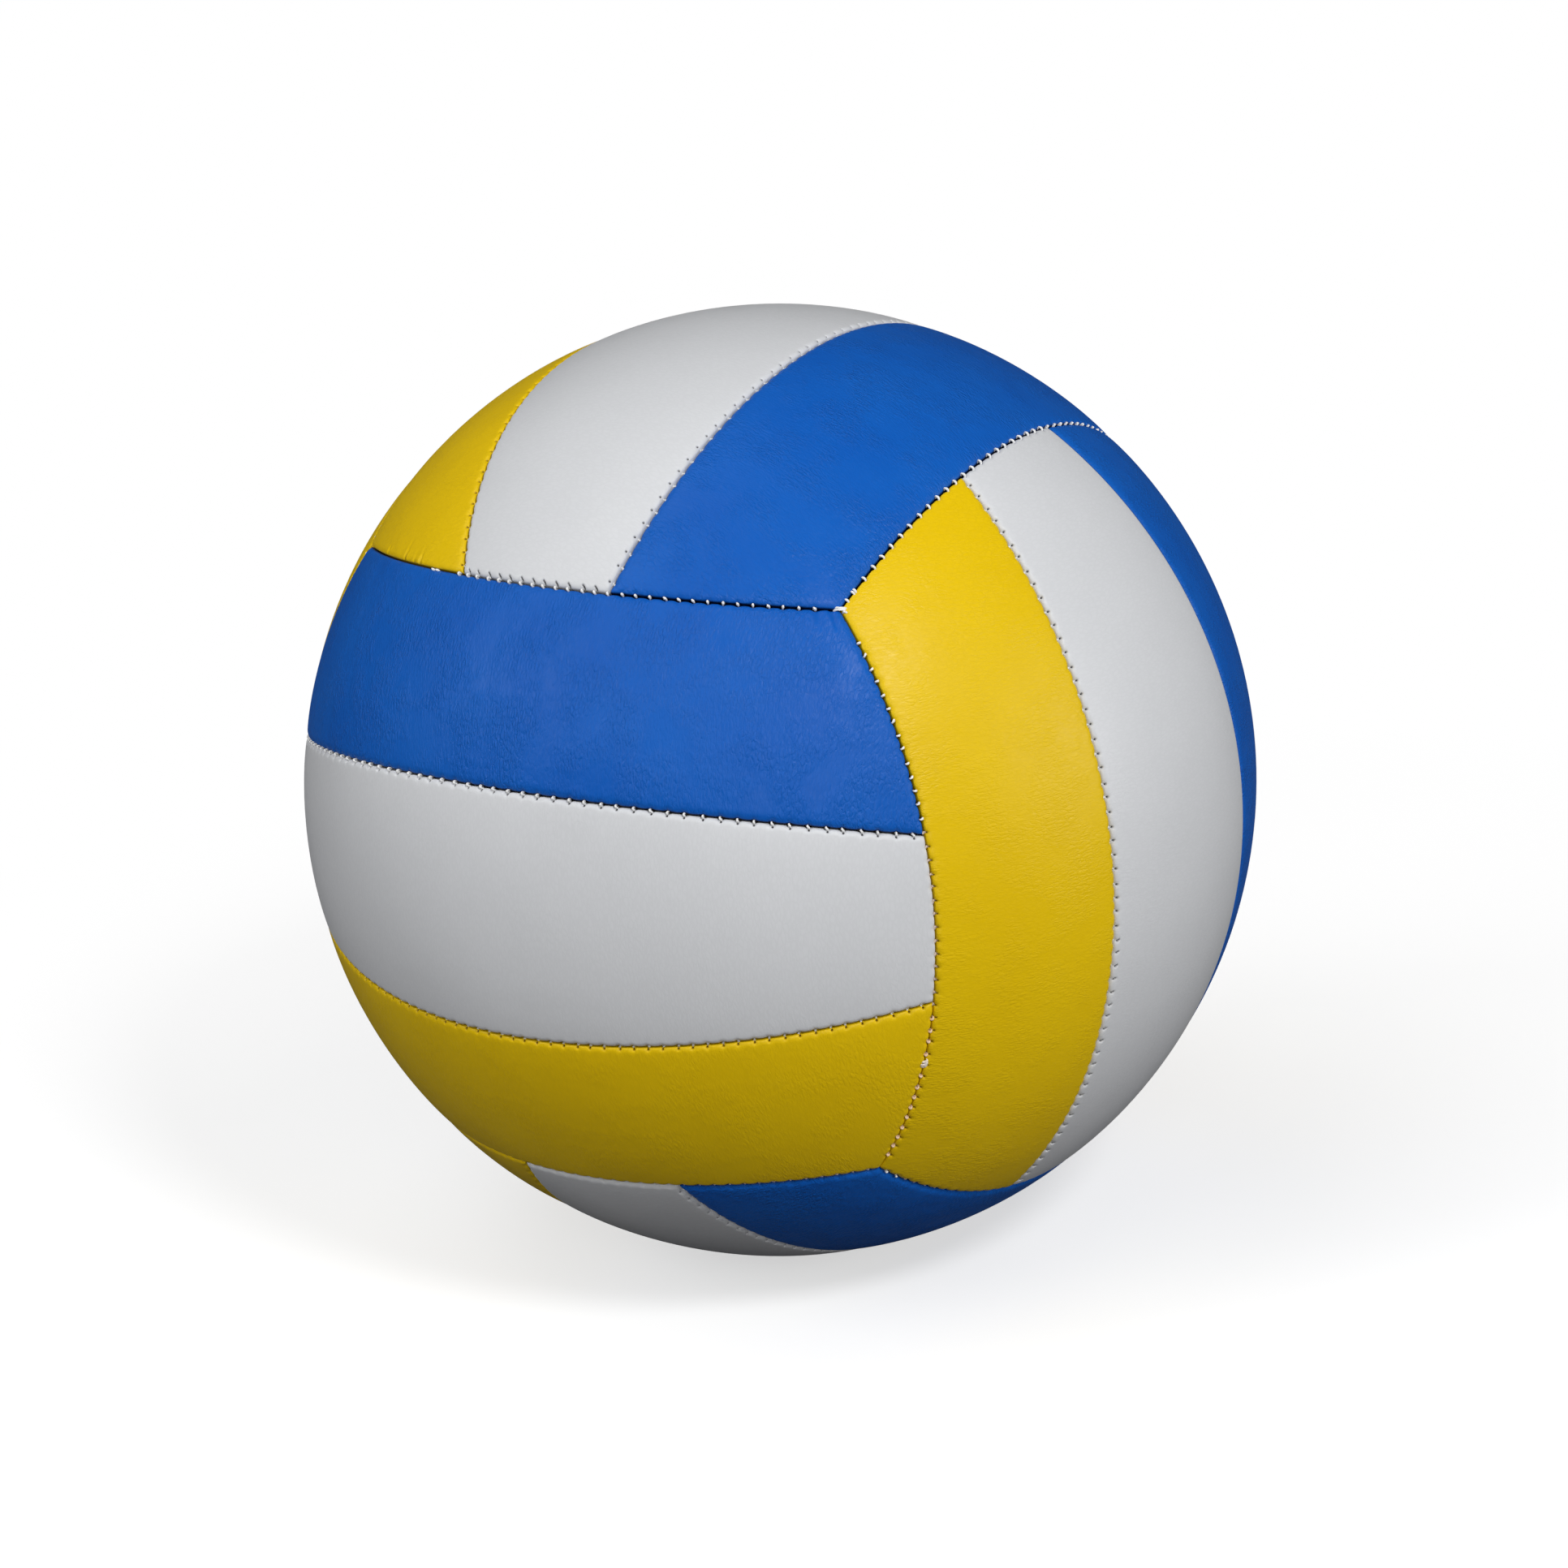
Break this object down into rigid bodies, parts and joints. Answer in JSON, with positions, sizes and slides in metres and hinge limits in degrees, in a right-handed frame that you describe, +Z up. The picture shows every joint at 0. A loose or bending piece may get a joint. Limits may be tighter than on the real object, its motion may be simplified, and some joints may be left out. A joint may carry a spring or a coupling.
{
  "type": "volleyball",
  "caption": "Round inflated ball with a sewn cover of curved strip panels in blue, white and yellow over a rubber bladder with a needle valve.",
  "frame": {"origin": "centre of the ball", "axes": "+Z up through the middle of the top face's white strip, -Y out through the middle of the front face's white strip, +Y out along the valve, +X out through the middle of the right face's white strip"},
  "size_m": [0.21, 0.21, 0.21],
  "materials": {
    "cover_blue": "synthetic leather, satin, fine grain",
    "cover_white": "synthetic leather, satin, fine grain",
    "cover_yellow": "synthetic leather, satin, fine grain",
    "foam": "closed-cell foam sheet",
    "lining": "plain woven cloth",
    "thread": "twisted sewing thread",
    "bladder": "moulded rubber, matt",
    "valve_rubber": "moulded rubber, satin",
    "valve_core": "soft rubber, matt"
  },
  "bodies": {
    "root": {"front_yellow_panel": "cover_yellow", "front_yellow_foam": "foam", "front_yellow_lining": "lining", "front_white_panel": "cover_white", "front_white_foam": "foam", "front_white_lining": "lining", "front_blue_panel": "cover_blue", "front_blue_foam": "foam", "front_blue_lining": "lining", "right_yellow_panel": "cover_yellow", "right_yellow_foam": "foam", "right_yellow_lining": "lining", "right_white_panel": "cover_white", "right_white_foam": "foam", "right_white_lining": "lining", "right_blue_panel": "cover_blue", "right_blue_foam": "foam", "right_blue_lining": "lining", "back_yellow_panel": "cover_yellow", "back_yellow_foam": "foam", "back_yellow_lining": "lining", "back_white_panel": "cover_white", "back_white_foam": "foam", "back_white_lining": "lining", "back_blue_panel": "cover_blue", "back_blue_foam": "foam", "back_blue_lining": "lining", "left_yellow_panel": "cover_yellow", "left_yellow_foam": "foam", "left_yellow_lining": "lining", "left_white_panel": "cover_white", "left_white_foam": "foam", "left_white_lining": "lining", "left_blue_panel": "cover_blue", "left_blue_foam": "foam", "left_blue_lining": "lining", "top_yellow_panel": "cover_yellow", "top_yellow_foam": "foam", "top_yellow_lining": "lining", "top_white_panel": "cover_white", "top_white_foam": "foam", "top_white_lining": "lining", "top_blue_panel": "cover_blue", "top_blue_foam": "foam", "top_blue_lining": "lining", "bottom_yellow_panel": "cover_yellow", "bottom_yellow_foam": "foam", "bottom_yellow_lining": "lining", "bottom_white_panel": "cover_white", "bottom_white_foam": "foam", "bottom_white_lining": "lining", "bottom_blue_panel": "cover_blue", "bottom_blue_foam": "foam", "bottom_blue_lining": "lining", "seam_thread": "thread", "bladder": "bladder", "valve_patch": "valve_rubber", "valve_body": "valve_rubber", "valve_core": "valve_core"}
  },
  "joints": []
}
